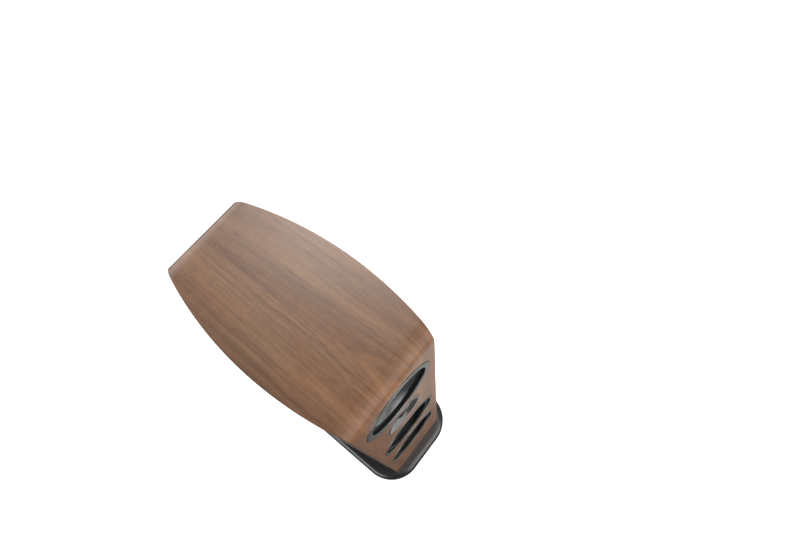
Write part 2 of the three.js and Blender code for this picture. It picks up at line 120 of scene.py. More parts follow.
class Graph:
    """A material's nodes, with short ways to add and join them."""

    def __init__(self, name, **constants):
        self.material = bpy.data.materials.new(name)
        self.material.use_nodes = True
        self.tree = self.material.node_tree
        self.shader = self.tree.nodes["Principled BSDF"]
        for socket, value in constants.items():
            self.shader.inputs[socket.replace("_", " ")].default_value = value

    def feed(self, socket, value):
        if isinstance(value, bpy.types.NodeSocket):
            self.tree.links.new(value, socket)
        elif value is not None:
            socket.default_value = value

    def add(self, kind, *inputs, **settings):
        node = self.tree.nodes.new("ShaderNode" + kind)
        for key, value in settings.items():
            setattr(node, key, value)
        for socket, value in zip(node.inputs, inputs):
            self.feed(socket, value)
        return node

    def math(self, operation, a, b=None):
        return self.add("Math", a, b, operation=operation).outputs[0]

    def uv(self, layer):
        return self.add("UVMap", uv_map=layer).outputs[0]

    def place(self):
        return self.add("TexCoord").outputs["Object"]

    def scaled(self, vector, factors):
        return self.add("VectorMath", vector, factors, operation="MULTIPLY").outputs[0]

    def noise(self, vector, scale=1.0, detail=2.0, roughness=0.5):
        node = self.add("TexNoise")
        for socket, value in (("Vector", vector), ("Scale", scale), ("Detail", detail),
                              ("Roughness", roughness)):
            self.feed(node.inputs[socket], value)
        return node.outputs[0]

    def line_noise(self, value, scale, detail=2.0, roughness=0.5):
        node = self.add("TexNoise", noise_dimensions="1D")
        for socket, fed in (("W", value), ("Scale", scale), ("Detail", detail), ("Roughness", roughness)):
            self.feed(node.inputs[socket], fed)
        return node.outputs[0]

    def ramp(self, value, *stops):
        node = self.add("ValToRGB", value)
        elements = node.color_ramp.elements
        while len(elements) < len(stops):
            elements.new(0.5)
        for element, (position, colour) in zip(elements, stops):
            element.position = position
            element.color = (*colour, 1)
        return node.outputs[0]

    def span(self, value, from_low, from_high, to_low, to_high):
        return self.add("MapRange", value, from_low, from_high, to_low, to_high).outputs[0]

    def mix(self, share, a, b, blend="MIX"):
        node = self.add("Mix", data_type="RGBA", blend_type=blend)
        self.feed(node.inputs["Factor"], share)
        for index, colour in ((6, a), (7, b)):
            self.feed(node.inputs[index], (*colour, 1) if isinstance(colour, tuple) else colour)
        return node.outputs[2]

    def bump(self, height, strength, distance):
        node = self.add("Bump")
        for socket, value in (("Height", height), ("Strength", strength), ("Distance", distance)):
            self.feed(node.inputs[socket], value)
        return node.outputs[0]

    def finish(self, colour=None, roughness=None, normal=None):
        self.feed(self.shader.inputs["Base Color"], colour)
        self.feed(self.shader.inputs["Roughness"], roughness)
        self.feed(self.shader.inputs["Normal"], normal)
        return self.material


# ---------------------------------------------------------------- finishes

# Where the figure of the veneer lies on the top.
KNOT_ACROSS = 32 * MM
KNOT_FROM_REAR = 59 * MM
HEART_ACROSS = 4 * MM  # the middle of the pointed arches
ARCH_WIDTH = 35 * MM
ARCH_LENGTH = 100 * MM
KNOT_REACH = 22 * MM  # how far from the knot the fibres part
KNOT_PUSH = 6 * MM  # how far it pushes them aside
WANDER = 22 * MM  # the fibres' slow drift from straight
RIPPLE = 6 * MM  # and their quicker one


def walnut():
    """Crown-cut walnut: straight lines at the sides and long pointed arches in the middle."""
    g = Graph("walnut_veneer", Coat_Weight=0.8, Coat_Roughness=0.32, Specular_IOR_Level=0.5)
    grain = g.uv("Grain")
    split = g.add("SeparateXYZ", grain)
    across, along = split.outputs[0], split.outputs[1]

    # The fibres wander a little, and part round the knot.
    wander = g.noise(g.scaled(grain, (9, 2.4, 1)), detail=2)
    ripple = g.noise(g.scaled(grain, (34, 11, 1)), detail=3)
    shift = g.math("ADD", g.math("MULTIPLY", g.math("SUBTRACT", wander, 0.5), WANDER),
                   g.math("MULTIPLY", g.math("SUBTRACT", ripple, 0.5), RIPPLE))
    knot_u = g.math("SUBTRACT", across, KNOT_ACROSS)
    knot_v = g.math("MULTIPLY", g.math("SUBTRACT", along, KNOT_ALONG), 0.45)
    knot_distance = g.math("SQRT", g.math("ADD", g.math("MULTIPLY", knot_u, knot_u),
                                          g.math("MULTIPLY", knot_v, knot_v)))
    near_knot = g.span(knot_distance, 0.0, KNOT_REACH, 1.0, 0.0)
    part = g.math("MULTIPLY", g.math("MULTIPLY", near_knot, near_knot), g.math("SIGN", knot_u))
    fibre_u = g.math("ADD", g.math("ADD", g.math("SUBTRACT", across, HEART_ACROSS), shift),
                     g.math("MULTIPLY", part, -KNOT_PUSH))

    # The cut runs deeper into the trunk along the leaf, so each ring closes into an arch.
    fall = g.math("EXPONENT", g.math("MULTIPLY", g.math("ABSOLUTE", along), -1 / ARCH_LENGTH))
    depth = g.math("MULTIPLY", g.math("SUBTRACT", 1.0, fall), ARCH_WIDTH)
    ring = g.math("SQRT", g.math("ADD", g.math("MULTIPLY", fibre_u, fibre_u),
                                 g.math("MULTIPLY", depth, depth)))
    arches = g.line_noise(g.math("ADD", ring, 5.3), 75, detail=3, roughness=0.55)
    heart = g.span(ring, 0.020, 0.036, 1.0, 0.0)
    arch_edge = g.math("SUBTRACT", 1.0, g.math("ABSOLUTE", g.span(ring, 0.0325, 0.0355, -1.0, 1.0)))

    # What runs along the fibres, from the broad bands to the pores. The scales are across and along them.
    fibres_at = g.add("CombineXYZ", fibre_u, along).outputs[0]

    def lengthwise(scale_across, scale_along, detail, roughness=0.5):
        stretched = g.scaled(fibres_at, (scale_across, scale_along, 1))
        return g.noise(stretched, detail=detail, roughness=roughness)

    broad = lengthwise(34, 1.6, 3, 0.55)
    streaks = lengthwise(210, 6, 4, 0.60)
    lines = g.span(lengthwise(95, 1.1, 2), 0.585, 0.66, 0.0, 1.0)
    fibres = lengthwise(1300, 40, 2, 0.6)
    pores = g.span(lengthwise(1700, 110, 1), 0.60, 0.70, 0.0, 1.0)
    flecks = g.span(lengthwise(480, 26, 2), 0.54, 0.66, 0.0, 1.0)
    mottle = g.noise(g.scaled(grain, (26, 60, 1)), detail=3)
    blotches = g.noise(g.scaled(grain, (16, 7, 1)), detail=3)

    tone = g.math("ADD", g.math("MULTIPLY", arches, 0.30),
                  g.math("ADD", g.math("MULTIPLY", broad, 0.46), g.math("MULTIPLY", streaks, 0.24)))
    colour = g.ramp(tone, (0.38, (0.158, 0.077, 0.037)), (0.50, (0.246, 0.124, 0.059)),
                    (0.62, (0.336, 0.181, 0.088)))

    # Each tint multiplies the colour where its share is high.
    tints = (
        (g.span(blotches, 0.38, 0.64, 0.0, 0.45), (1.16, 0.94, 0.74)),
        (g.math("MULTIPLY", heart, 0.75), (1.26, 1.16, 1.02)),
        (g.math("MULTIPLY", g.math("MAXIMUM", arch_edge, 0.0), 0.45), (0.60, 0.52, 0.50)),
        (g.math("MULTIPLY", lines, 0.48), (0.62, 0.56, 0.54)),
        # Painted shade: darker and cooler towards the left edge of the top, front and back, and over the whole
        # left side panel, whose place in the leaf lies below this range.
        (g.span(across, -0.115, -0.080, 0.7, 0.0), (0.66, 0.66, 0.70)),
        (g.span(mottle, 0.35, 0.65, 0.0, 0.26), (0.70, 0.64, 0.62)),
        (g.span(fibres, 0.35, 0.65, 0.38, 0.0), (0.62, 0.55, 0.50)),
        (g.math("MULTIPLY", flecks, 0.46), (0.58, 0.50, 0.46)),
        (g.math("MULTIPLY", pores, 0.50), (0.45, 0.38, 0.34)),
    )
    for share, tint in tints:
        colour = g.mix(share, colour, tint, "MULTIPLY")
    knotted = g.mix(g.span(knot_distance, 0.0006, 0.0036, 0.55, 0.0), colour, (0.06, 0.028, 0.016))

    roughness = g.span(fibres, 0.3, 0.7, 0.34, 0.44)
    height = g.math("SUBTRACT", g.math("MULTIPLY", fibres, 0.4), pores)
    return g.finish(knotted, roughness, g.bump(height, 0.22, 0.00006))


def grained(name, dark, light, roughness, scale, bump=0.2, relief=0.0001, **constants):
    """A finish with fine irregular grain, such as moulded plastic, rubber, board or lacquer."""
    g = Graph(name, **constants)
    place = g.place()
    fine = g.noise(place, scale, 3)
    broad = g.noise(place, scale * 0.04, 2)
    colour = g.mix(g.span(fine, 0.35, 0.65, 0.0, 1.0), dark, light)
    worn = g.mix(g.span(broad, 0.4, 0.7, 0.0, 0.35), colour, light)
    rough = g.math("ADD", g.span(broad, 0.3, 0.7, roughness[0], roughness[1]),
                   g.math("MULTIPLY", g.math("SUBTRACT", fine, 0.5), 0.06))
    return g.finish(worn, rough, g.bump(fine, bump, relief))


def spun(name, dark, light, roughness, lines, bump=0.12, **constants):
    """Metal or lacquer turned on a lathe: fine lines follow the turning, read from the Turn layer."""
    g = Graph(name, **constants)
    length = g.add("SeparateXYZ", g.uv("Turn")).outputs[1]
    groove = g.line_noise(length, lines, 2, 0.7)
    haze = g.noise(g.place(), 60, 3)
    colour = g.mix(g.span(groove, 0.3, 0.7, 0.0, 1.0), dark, light)
    rough = g.math("ADD", g.span(haze, 0.3, 0.7, roughness[0], roughness[1]),
                   g.math("MULTIPLY", g.math("SUBTRACT", groove, 0.5), 0.10))
    return g.finish(colour, rough, g.bump(groove, bump, 0.00003))


def woven(name, dark, light, threads_per_metre, **constants):
    """Varnished cloth: two crossing sets of threads."""
    g = Graph(name, **constants)
    split = g.add("SeparateXYZ", g.place())
    turn = threads_per_metre * 2 * math.pi
    warp = g.math("SINE", g.math("MULTIPLY", split.outputs[0], turn))
    weft = g.math("SINE", g.math("MULTIPLY", split.outputs[2], turn))
    cloth = g.span(g.math("MULTIPLY", warp, weft), -1.0, 1.0, 0.0, 1.0)
    fuzz = g.noise(g.place(), 900, 2)
    colour = g.mix(g.math("MULTIPLY", cloth, g.span(fuzz, 0.2, 0.8, 0.6, 1.0)), dark, light)
    return g.finish(colour, g.span(fuzz, 0.3, 0.7, 0.7, 0.9), g.bump(cloth, 0.5, 0.0003))


def circuit_board():
    """Green lacquer over copper tracks."""
    g = Graph("circuit_board", Coat_Weight=0.4, Coat_Roughness=0.15)
    tracks = g.add("TexBrick")
    g.feed(tracks.inputs["Vector"], g.place())
    for socket, value in (("Scale", 60.0), ("Mortar Size", 0.012), ("Color1", (0.012, 0.10, 0.040, 1)),
                          ("Color2", (0.014, 0.12, 0.048, 1)), ("Mortar", (0.05, 0.22, 0.07, 1))):
        tracks.inputs[socket].default_value = value
    haze = g.noise(g.place(), 90, 3)
    roughness = g.span(haze, 0.3, 0.7, 0.35, 0.5)
    return g.finish(tracks.outputs[0], roughness, g.bump(tracks.outputs[1], 0.3, 0.0001))


# ---------------------------------------------------------------- mesh code


def new_piece(name, mesh, body, material, stands_for):
    piece = bpy.data.objects.new(name, mesh)
    bpy.context.scene.collection.objects.link(piece)
    mesh.materials.append(material)
    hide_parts(*stands_for)
    if body:
        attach(piece, body)
    return piece


def to_mesh(name, bm):
    bmesh.ops.remove_doubles(bm, verts=bm.verts, dist=1e-7)
    bmesh.ops.dissolve_degenerate(bm, edges=bm.edges, dist=1e-7)
    bmesh.ops.recalc_face_normals(bm, faces=bm.faces)
    mesh = bpy.data.meshes.new(name)
    bm.to_mesh(mesh)
    bm.free()
    return mesh


def smooth(mesh):
    mesh.shade_smooth()
    mesh.set_sharp_from_angle(angle=SMOOTH_ANGLE)


def steps_between(a, b, count):
    return [a + (b - a) * i / count for i in range(count + 1)]


def skin(bm, rows, closed=False):
    """Quads between neighbouring rows of points, each row closed on itself if asked."""
    grid = [[bm.verts.new(p) for p in row] for row in rows]
    for near, far in zip(grid, grid[1:]):
        last = len(near) if closed else len(near) - 1
        for i in range(last):
            j = (i + 1) % len(near)
            bm.faces.new((near[i], near[j], far[j], far[i]))
    return grid


def prism(name, outline, z_low, z_high):
    """A plan outline raised between two levels."""
    bm = bmesh.new()
    lower, upper = skin(bm, [[(x, y, z) for x, y in outline] for z in (z_low, z_high)], closed=True)
    bm.faces.new(lower)
    bm.faces.new(upper)
    return to_mesh(name, bm)


def carve(mesh, tools):
    """The mesh with the tools' shapes cut out of it."""
    base = bpy.data.objects.new("carve_base", mesh)
    bpy.context.scene.collection.objects.link(base)
    cutters = []
    for tool in tools:
        cutter = bpy.data.objects.new("carve_tool", tool)
        bpy.context.scene.collection.objects.link(cutter)
        modifier = base.modifiers.new("cut", "BOOLEAN")
        modifier.operation, modifier.solver, modifier.object = "DIFFERENCE", "EXACT", cutter
        cutters.append(cutter)
    bpy.context.view_layer.update()
    evaluated = base.evaluated_get(bpy.context.evaluated_depsgraph_get())
    carved = bpy.data.meshes.new_from_object(evaluated)
    carved.name = mesh.name
    for used in (base, *cutters):
        bpy.data.objects.remove(used)
    return carved


def rounded(points):
    """The outline with each corner (x, y, radius) turned into an arc."""
    smoothed = []
    for i, corner in enumerate(points):
        here = Vector(corner[:2])
        if len(corner) < 3:
            smoothed.append(here)
            continue
        to_last = (Vector(points[i - 1][:2]) - here).normalized()
        to_next = (Vector(points[(i + 1) % len(points)][:2]) - here).normalized()
        half = to_last.angle(to_next) / 2
        middle = here + (to_last + to_next).normalized() * corner[2] / math.sin(half)
        start = here + to_last * corner[2] / math.tan(half) - middle
        end = here + to_next * corner[2] / math.tan(half) - middle
        sweep = math.atan2(start.x * end.y - start.y * end.x, start.dot(end))
        for angle in steps_between(0, sweep, FILLET_STEPS):
            smoothed.append(middle + Matrix.Rotation(angle, 2) @ start)
    return smoothed


OUT_OF_FRONT = Matrix.Rotation(math.pi / 2, 4, "X")
OUT_OF_REAR = Matrix.Rotation(-math.pi / 2, 4, "X")
UPWARD = Matrix.Identity(4)


def turned(name, outline, at, turn, segments=96, relief=None):
    """A closed outline in millimetres turned about the local Z axis, then set at a place.

    relief gives how far the surface stands out at an angle, radius and height, in millimetres.
    Layer Turn holds the share of the turn and the length along the outline, in metres.
    """
    points = rounded(outline)
    bm = bmesh.new()
    uv = bm.loops.layers.uv.new("Turn")
    lengths = [0.0]
    for a, b in zip(points, points[1:] + points[:1]):
        lengths.append(lengths[-1] + (b - a).length * MM)
    frame_of = Matrix.Translation(at) @ turn

    def ring(point):
        if point.x < 1e-6:
            return [bm.verts.new(frame_of @ Vector((0, 0, point.y * MM)))] * segments
        verts = []
        for j in range(segments):
            angle = 2 * math.pi * j / segments
            r = point.x + (relief(angle, point.x, point.y) if relief else 0)
            local = Vector((r * math.cos(angle), r * math.sin(angle), point.y)) * MM
            verts.append(bm.verts.new(frame_of @ local))
        return verts

    rings = [ring(p) for p in points]
    for i, near in enumerate(rings):
        far = rings[(i + 1) % len(rings)]
        if near[0] is near[1] and far[0] is far[1]:
            continue
        for j in range(segments):
            k = (j + 1) % segments
            corners = [(near[j], j, i), (near[k], j + 1, i), (far[k], j + 1, i + 1), (far[j], j, i + 1)]
            if near[0] is near[1]:
                corners.pop(1)
            elif far[0] is far[1]:
                corners.pop(2)
            face = bm.faces.new([c[0] for c in corners])
            for loop, (_, step, row) in zip(face.loops, corners):
                loop[uv].uv = (step / segments, lengths[row])
    bmesh.ops.recalc_face_normals(bm, faces=bm.faces)
    mesh = bpy.data.meshes.new(name)
    bm.to_mesh(mesh)
    bm.free()
    smooth(mesh)
    return mesh


# ---------------------------------------------------------------- cabinet


def half_width(y, inset=0.0):
    radius = SIDE_RADIUS - inset
    return MAX_HALF_WIDTH - SIDE_RADIUS + math.sqrt(radius * radius - (y - WIDEST) ** 2)


def plan(y_front, y_rear, inset=0.0, steps=BOW_STEPS, eased=()):
    """Plan outline between two depths with both sides bowed. Corners named in eased are rounded."""
    def face(sign, from_y, to_y):
        return [(sign * half_width(y, inset), y) for y in steps_between(from_y, to_y, steps)]

    def corner(y, inward, sign, leaving):
        """The eased corner at one end, listed towards or away from the middle of the end face."""
        points = []
        for angle in steps_between(0, math.pi / 2, EDGE_STEPS):
            points.append((sign * (half_width(y, inset) - EDGE + EDGE * math.cos(angle)),
                           y + inward * EDGE * (1 - math.sin(angle))))
        return points[::-1] if leaving else points

    front_in = EDGE if "front" in eased else 0
    rear_in = EDGE if "rear" in eased else 0
    outline = []
    if front_in:
        outline += corner(y_front, 1, 1, True)[:-1]
    outline += face(1, y_front + front_in, y_rear - rear_in)
    if rear_in:
        outline += corner(y_rear, -1, 1, False)[1:]
        outline += corner(y_rear, -1, -1, True)[:-1]
    outline += face(-1, y_rear - rear_in, y_front + front_in)
    if front_in:
        outline += corner(y_front, 1, -1, False)[1:]
    return outline


def wrap_profile():
    """(y, z, outward normal) along the veneer from the front joint, over the top, to the rear joint."""
    def corner(centre_y, radius, from_angle, to_angle):
        points = []
        for angle in steps_between(from_angle, to_angle, CORNER_STEPS):
            ny, nz = math.cos(angle), math.sin(angle)
            points.append((centre_y + radius * ny, TOP - radius + radius * nz, (ny, nz)))
        return points

    front_y = FRONT + TOP_FRONT_RADIUS
    rear_y = REAR - TOP_REAR_RADIUS
    profile = [(FRONT, TOP_JOINT, (-1, 0))]
    profile += corner(front_y, TOP_FRONT_RADIUS, math.pi, math.pi / 2)
    profile += [(y, TOP, (0, 1)) for y in steps_between(front_y, rear_y, BOW_STEPS)[1:-1]]
    profile += corner(rear_y, TOP_REAR_RADIUS, math.pi / 2, 0)
    profile.append((REAR, TOP_JOINT, (1, 0)))
    return profile


def wrap_length(y, z):
    """Distance along the veneer that runs up the front, over the top and down the back."""
    front_arc = TOP_FRONT_RADIUS * math.pi / 2
    flat = (REAR - TOP_REAR_RADIUS) - (FRONT + TOP_FRONT_RADIUS)
    to_front = y - (FRONT + TOP_FRONT_RADIUS)
    to_rear = y - (REAR - TOP_REAR_RADIUS)
    if to_front < 0:
        above = z - (TOP - TOP_FRONT_RADIUS)
        if above < 0:
            return above
        return TOP_FRONT_RADIUS * math.atan2(above, -to_front)
    if to_rear > 0:
        above = z - (TOP - TOP_REAR_RADIUS)
        rear_arc = TOP_REAR_RADIUS * math.pi / 2
        if above < 0:
            return front_arc + flat + rear_arc - above
        return front_arc + flat + TOP_REAR_RADIUS * math.atan2(to_rear, above)
    return front_arc + to_front


KNOT_ALONG = wrap_length(REAR - KNOT_FROM_REAR, TOP)
SIDE_LEAF = 0.9  # the side veneers come from another part of the log


def lay_veneer(mesh):
    """Layer Grain holds the place in the veneer leaf, across and along its grain, in metres."""
    grain = mesh.uv_layers.new(name="Grain")
    for face in mesh.polygons:
        on_side = abs(face.normal.x) > 0.75
        for index in face.loop_indices:
            p = mesh.vertices[mesh.loops[index].vertex_index].co
            if on_side:
                # The left side's place in the leaf lies wholly within the painted shade that walnut() lays
                # towards the left.
                leaf = SIDE_LEAF if face.normal.x > 0 else -SIDE_LEAF
                grain.data[index].uv = (p.y + leaf, p.z)
            else:
                grain.data[index].uv = (p.x, wrap_length(p.y, p.z))


def keep_faces_flat(piece):
    piece.modifiers.new("flat faces stay flat", "WEIGHTED_NORMAL").keep_sharp = True


def panel(name, mesh, material):
    smooth(mesh)
    lay_veneer(mesh)
    keep_faces_flat(new_piece("veneered_" + name, mesh, "cabinet", material, [name]))


def top_panel_mesh():
    bm = bmesh.new()
    rows = []
    easing = steps_between(0, math.pi / 2, EDGE_STEPS)
    for y, z, (ny, nz) in wrap_profile():
        lower_y = y - EDGE * ny
        width = half_width(y)
        edge = [(half_width(lower_y), lower_y, TOP_JOINT)]
        for angle in easing:
            sink = EDGE * (1 - math.sin(angle))
            edge.append((width - EDGE + EDGE * math.cos(angle), y - sink * ny, z - sink * nz))
        rows.append([(-x, py, pz) for x, py, pz in edge] + edge[::-1])
    grid = skin(bm, rows)
    bm.faces.new([row[0] for row in grid] + [row[-1] for row in reversed(grid)])
    bm.faces.new(grid[0])
    bm.faces.new(grid[-1])
    outer = to_mesh("top_panel", bm)
    hollow_plan = plan(FRONT_JOINT, REAR_JOINT, SIDE_WALL)
    hollow = prism("hollow", hollow_plan, TOP_JOINT - HOLLOW_BELOW * MM, TOP - TOP_WALL)
    return carve(outer, [hollow])


def driver_cutter(rim, through, z):
    seat = rim + CLEARANCE
    outline = [(0, 1), (seat, 1), (seat, -REBATE), (through, -REBATE), (through, -THROUGH_WALL),
               (0, -THROUGH_WALL)]
    return turned("cutter", outline, (0, FRONT, z), OUT_OF_FRONT, 128)


def drill(radius, start, end, at, turn, segments):
    """The shape of a round hole between two heights."""
    return turned("hole", [(0, start), (radius, start), (radius, end), (0, end)], at, turn, segments)


def side_plan(sign):
    depths = steps_between(FRONT_JOINT, REAR_JOINT, BOW_STEPS)
    outer = [(sign * half_width(y), y) for y in depths]
    inner = [(sign * half_width(y, SIDE_WALL), y) for y in reversed(depths)]
    return outer + inner


def build_cabinet(drivers, terminals_z, terminal_xs):
    veneer = walnut()
    panel("top_panel", top_panel_mesh(), veneer)
    front_plan = plan(FRONT, FRONT_JOINT, steps=8, eased=("front",))
    baffle = prism("front_baffle", front_plan, PLINTH_TOP, TOP_JOINT)
    cutters = [driver_cutter(d["outer"], d["through"], d["z"]) for d in drivers]
    panel("front_baffle", carve(baffle, cutters), veneer)
    rear_plan = plan(REAR_JOINT, REAR, steps=8, eased=("rear",))
    back = prism("rear_panel", rear_plan, PLINTH_TOP, TOP_JOINT)
    holes = [drill(POST_HOLE, -THROUGH_WALL, OVERREACH, (x, REAR, terminals_z), OUT_OF_REAR, 48)
             for x in terminal_xs]
    panel("rear_panel", carve(back, holes), veneer)
    for side, sign in (("left", -1), ("right", 1)):
        panel(f"{side}_side_panel", prism("side_panel", side_plan(sign), PLINTH_TOP, TOP_JOINT), veneer)


# ---------------------------------------------------------------- plinth and feet


FEET = ("front_left", "front_right", "rear_left", "rear_right")

# The feet's own sizes, in millimetres. The stud's head turns in a socket in the pad.
FOOT_PITCH = 1.25
STUD_RADIUS = 4
HEAD_RADIUS = 6
HEAD_LOW = 3.8
HEAD_HIGH = 6.2
SOCKET_RADIUS = 7
SOCKET_ROOM = 0.4  # above and below the head
THREAD_START = 7
THREAD_RUN_OUT = 0.2  # plain stretch at each end of the thread
PAD_EASING = 1.2


def rounded_rectangle(half_x, half_y, radius, z):
    points = []
    for sx, sy, quarter in ((1, 1, 0), (-1, 1, 1), (-1, -1, 2), (1, -1, 3)):
        for share in steps_between(0, 1, 20):
            angle = math.pi / 2 * (quarter + share)
            points.append((sx * (half_x - radius) + radius * math.cos(angle),
                           sy * (half_y - radius) + radius * math.sin(angle), z))
    return points


def build_plinth():
    half_x, half_y = high("plinth").x, high("plinth").y
    levels = [(PLINTH_CHAMFER, PLINTH_BOTTOM), (0, PLINTH_BOTTOM + PLINTH_CHAMFER)]
    for angle in steps_between(0, math.pi / 2, 12):
        inset = PLINTH_EDGE * (1 - math.cos(angle))
        levels.append((inset, PLINTH_TOP - PLINTH_EDGE * (1 - math.sin(angle))))
    bm = bmesh.new()
    grid = skin(bm, [rounded_rectangle(half_x - inset, half_y - inset, PLINTH_CORNER - inset, z)
                     for inset, z in levels], closed=True)
    bm.faces.new(grid[0])
    bm.faces.new(grid[-1])
    studs = [centre(f"foot_{place}_stud") for place in FEET]
    holes = [drill(STUD_HOLE, -OVERREACH, STUD_HOLE_DEPTH, (c.x, c.y, PLINTH_BOTTOM), UPWARD, 32)
             for c in studs]
    mesh = carve(to_mesh("plinth", bm), holes)
    smooth(mesh)
    lacquer = grained("black_lacquer", (0.0035, 0.004, 0.0042), (0.008, 0.009, 0.0095), (0.24, 0.32), 700,
                      bump=0.05, relief=0.00003, Specular_IOR_Level=1.0, IOR=1.6, Coat_Weight=1.0,
                      Coat_Roughness=0.30)
    keep_faces_flat(new_piece("lacquered_plinth", mesh, "cabinet", lacquer, ["plinth"]))


def thread(start, end, pitch, depth):
    """Relief of a screw thread between two heights, in millimetres."""
    def relief(angle, radius, height):
        if radius < 1 or not start <= height <= end:
            return 0
        turn = (height / pitch - angle / (2 * math.pi)) % 1
        return -depth * abs(2 * turn - 1)
    return relief


def threaded_stretch(radius, start, end, pitch):
    """Outline points, four to a turn, close enough together to carry a thread."""
    count = round((end - start) / pitch * 4)
    return [(radius, height) for height in steps_between(start, end, count)]


def build_feet():
    rubber = grained("foot_rubber", (0.010, 0.010, 0.010), (0.020, 0.020, 0.021), (0.62, 0.78), 900,
                     bump=0.4)
    steel = spun("foot_steel", (0.30, 0.30, 0.31), (0.52, 0.52, 0.53), (0.28, 0.40), 2500, Metallic=1.0)
    socket_low, socket_high = HEAD_LOW - SOCKET_ROOM, HEAD_HIGH + SOCKET_ROOM
    for place in FEET:
        pad_node, stud_node = f"foot_{place}_pad", f"foot_{place}_stud"
        middle = centre(stud_node)
        at = Vector((middle.x, middle.y, 0))
        radius = (high(pad_node).x - low(pad_node).x) / 2 / MM
        top = high(pad_node).z / MM
        pad = [(0, 0), (radius, 0, PAD_EASING), (radius, top, PAD_EASING), (STUD_HOLE, top),
               (STUD_HOLE, socket_high), (SOCKET_RADIUS, socket_high), (SOCKET_RADIUS, socket_low),
               (0, socket_low)]
        new_piece(f"turned_{place}_pad", turned("pad", pad, at, UPWARD), pad_node, rubber,
                  [pad_node])
        stud_top = high(stud_node).z / MM
        thread_end = stud_top - 1
        shank = threaded_stretch(STUD_RADIUS, THREAD_START, thread_end, FOOT_PITCH)
        stud = [(0, HEAD_LOW), (HEAD_RADIUS, HEAD_LOW, 0.4), (HEAD_RADIUS, HEAD_HIGH, 0.4),
                (STUD_RADIUS, HEAD_HIGH), *shank, (STUD_RADIUS - 1, stud_top), (0, stud_top)]
        ridges = thread(THREAD_START + THREAD_RUN_OUT, thread_end - THREAD_RUN_OUT, FOOT_PITCH, 0.5)
        new_piece(f"threaded_{place}_stud", turned("stud", stud, at, UPWARD, 36, ridges), stud_node,
                  steel, [stud_node])


# ---------------------------------------------------------------- cone drivers

# These are in millimetres.
SEAT = -6.3  # the surround's rim sits on the basket at this height, from the baffle face
CONE_THICKNESS = 1.2
SURROUND_RIM = 3
RING_GAP = 0.4  # the dark line round each ring and round the tweeter's plate
DOME_RISE = 5.5
DOME_CURVE = 0.9  # 1 would be half an ellipse


def cone_driver(name, **sizes):
    ring = f"{name}_trim_ring"
    sizes["outer"] = (high(ring).x - low(ring).x) / 2 / MM
    sizes["proud"] = (FRONT - low(ring).y) / MM
    sizes["through"] = sizes["inner"] + 2.5
    return {"name": name, "z": centre(ring).z, **sizes}


# inner is the ring's bore, cone the cone's edge, both radii, and rubber the surround's thickness.
WOOFER_SIZES = {"inner": 71, "cone": 57, "rolls": 1, "rubber": 1, "dish": 24}
MIDRANGE = cone_driver("midrange", inner=65.5, cone=54, rolls=4, rubber=0.4, dish=20)
UPPER_WOOFER = cone_driver("upper_woofer", **WOOFER_SIZES)
LOWER_WOOFER = cone_driver("lower_woofer", **WOOFER_SIZES)
TWEETER = {"name": "tweeter", "outer": 45, "through": 38, "dome": 12.7, "z": centre("tweeter_faceplate").z}


def dish_height(d, r):
    return SEAT - d["dish"] * (1 - (r / d["cone"]) ** 2)


def cone_outline(d):
    radii = steps_between(0, d["cone"], 24)
    front = [(r, dish_height(d, r)) for r in radii]
    back = [(r, dish_height(d, r) - CONE_THICKNESS) for r in reversed(radii)]
    return front + back


def surround_outline(d):
    """Half rolls of rubber side by side between the cone's edge and the basket, with a flat rim."""
    thickness = d["rubber"]
    inner, outer = d["cone"] + CLEARANCE, d["inner"] - CLEARANCE
    roll = (outer - SURROUND_RIM - inner) / 2 / d["rolls"]
    hollow = roll - thickness
    base = SEAT + CLEARANCE
    turns = steps_between(0, math.pi, 16)
    middles = [inner + roll * (2 * i + 1) for i in range(d["rolls"])]
    over = [(m - roll * math.cos(t), base + thickness + hollow * math.sin(t))
            for m in middles for t in turns[(0 if m == middles[0] else 1):]]
    under = [(m - hollow * math.cos(t), base + (hollow - thickness) * math.sin(t))
             for m in reversed(middles) for t in reversed(turns)]
    return [*over, (outer, base + thickness, 0.3), (outer, base), *under, (inner, base)]


def flex(piece, d, rim_radius, cone_radius):
    """The piece stays with the cabinet at its rim and moves with the cone at its inner edge."""
    moving = f"{d['name']}_moving_assembly"
    z = d["z"]
    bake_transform(piece, "cabinet", moving, (0, FRONT, z + rim_radius * MM), (0, FRONT, z + cone_radius * MM))
    weights = piece.data.attributes["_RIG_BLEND"].data
    for vertex, weight in zip(piece.data.vertices, weights):
        radius = math.hypot(vertex.co.x, vertex.co.z - z) / MM
        share = min(1, max(0, (rim_radius - radius) / (rim_radius - cone_radius)))
        weight.value = share * share * (3 - 2 * share)


def build_cone_driver(d, finishes, cone_finish):
    name, at = d["name"], (0, FRONT, d["z"])
    rim, bore, up = d["outer"] - RING_GAP, d["inner"], d["proud"]
    ring = [(bore, -0.6), (rim, -0.6), (rim, up * 0.5, 0.2), (rim - 0.6, up * 0.7, 0.2),
            (bore + 0.5, up * 0.55, 0.2), (bore, up * 0.3, 0.2)]
    new_piece(f"turned_{name}_ring", turned("ring", ring, at, OUT_OF_FRONT, 144), "cabinet",
              finishes["trim"], [f"{name}_trim_ring"])
    new_piece(f"spun_{name}_cone", turned("cone", cone_outline(d), at, OUT_OF_FRONT, 128),
              f"{name}_moving_assembly", cone_finish, [f"{name}_cone"])
    surround = turned("surround", surround_outline(d), at, OUT_OF_FRONT, 128)
    roll = new_piece(f"rolled_{name}_surround", surround, None, finishes["rubber"],
                     [f"{name}_surround"])
    flex(roll, d, d["inner"] - CLEARANCE - SURROUND_RIM, d["cone"] + CLEARANCE)


def dome_line(radius, base):
    """Half the section of the tweeter's dome, from its middle to its edge."""
    shares = steps_between(0, 1, 16)
    return [(s * radius, base + DOME_RISE * math.sqrt(1 - DOME_CURVE * s * s)) for s in shares]


